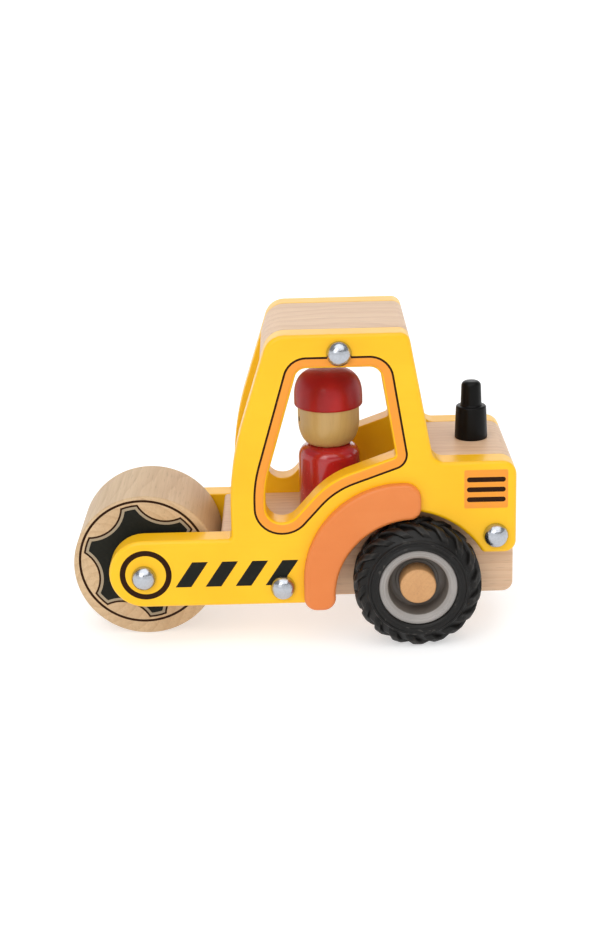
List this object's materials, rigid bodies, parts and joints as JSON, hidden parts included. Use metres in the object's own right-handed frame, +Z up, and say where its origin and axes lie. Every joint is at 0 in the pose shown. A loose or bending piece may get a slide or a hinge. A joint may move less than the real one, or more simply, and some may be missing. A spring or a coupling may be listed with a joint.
{
  "type": "toy road roller",
  "caption": "Wooden toy road roller with an open cab, a turned roller drum in front, rubber tyred rear wheels and a turning peg driver.",
  "frame": {"origin": "middle of the footprint on the ground", "axes": "+X towards the rear of the vehicle (the drum is at -X), +Y towards the vehicle's right side, +Z up"},
  "size_m": [0.169, 0.084, 0.1205],
  "materials": {
    "yellow_panel": "solid wood or plywood under warm yellow satin paint with printed markings",
    "orange_fender": "salmon orange satin paint on thin wood",
    "bare_wood": "pale clear-varnished wood with fine grain",
    "dowel_wood": "turned dowel, clear varnish, end grain showing",
    "varnished_wood": "turned ball of bare wood, clear varnish",
    "red_lacquer": "glossy dark red lacquer on turned wood",
    "black_lacquer": "glossy black lacquer on turned wood",
    "grey_plastic": "moulded light grey plastic",
    "tyre_rubber": "moulded black rubber with chevron lugs",
    "steel": "plain drawn steel rod",
    "bright_dome": "bright plated pressed steel"
  },
  "bodies": {
    "chassis": {"left_side_panel": "yellow_panel", "right_side_panel": "yellow_panel", "left_fender": "orange_fender", "right_fender": "orange_fender", "roof_block": "bare_wood", "floor_block": "bare_wood", "engine_block": "bare_wood", "exhaust_stack": "black_lacquer", "driver_peg": "dowel_wood", "drum_axle_rod": "steel", "roof_tie_rod": "steel", "floor_tie_rod": "steel", "engine_tie_rod": "steel", "left_roof_dome": "bright_dome", "right_roof_dome": "bright_dome", "left_floor_dome": "bright_dome", "right_floor_dome": "bright_dome", "left_engine_dome": "bright_dome", "right_engine_dome": "bright_dome", "left_drum_dome": "bright_dome", "right_drum_dome": "bright_dome"},
    "drum": {"roller_drum": "bare_wood"},
    "rear_wheels": {"rear_axle_dowel": "dowel_wood", "left_wheel_rim": "grey_plastic", "right_wheel_rim": "grey_plastic", "left_tyre": "tyre_rubber", "right_tyre": "tyre_rubber"},
    "driver": {"driver_body": "red_lacquer", "driver_head": "varnished_wood", "driver_cap": "red_lacquer"}
  },
  "joints": [
    {"name": "drum_spin", "type": "hinge", "parent": "chassis", "child": "drum", "pos_m": [-0.0565, 0, 0.028], "axis": [0, 1, 0], "continuous": true},
    {"name": "rear_wheels_spin", "type": "hinge", "parent": "chassis", "child": "rear_wheels", "pos_m": [0.047, 0, 0.0242], "axis": [0, 1, 0], "continuous": true},
    {"name": "driver_turn", "type": "hinge", "parent": "chassis", "child": "driver", "pos_m": [0.0152, 0, 0.0563], "axis": [0, 0, 1], "continuous": true}
  ]
}
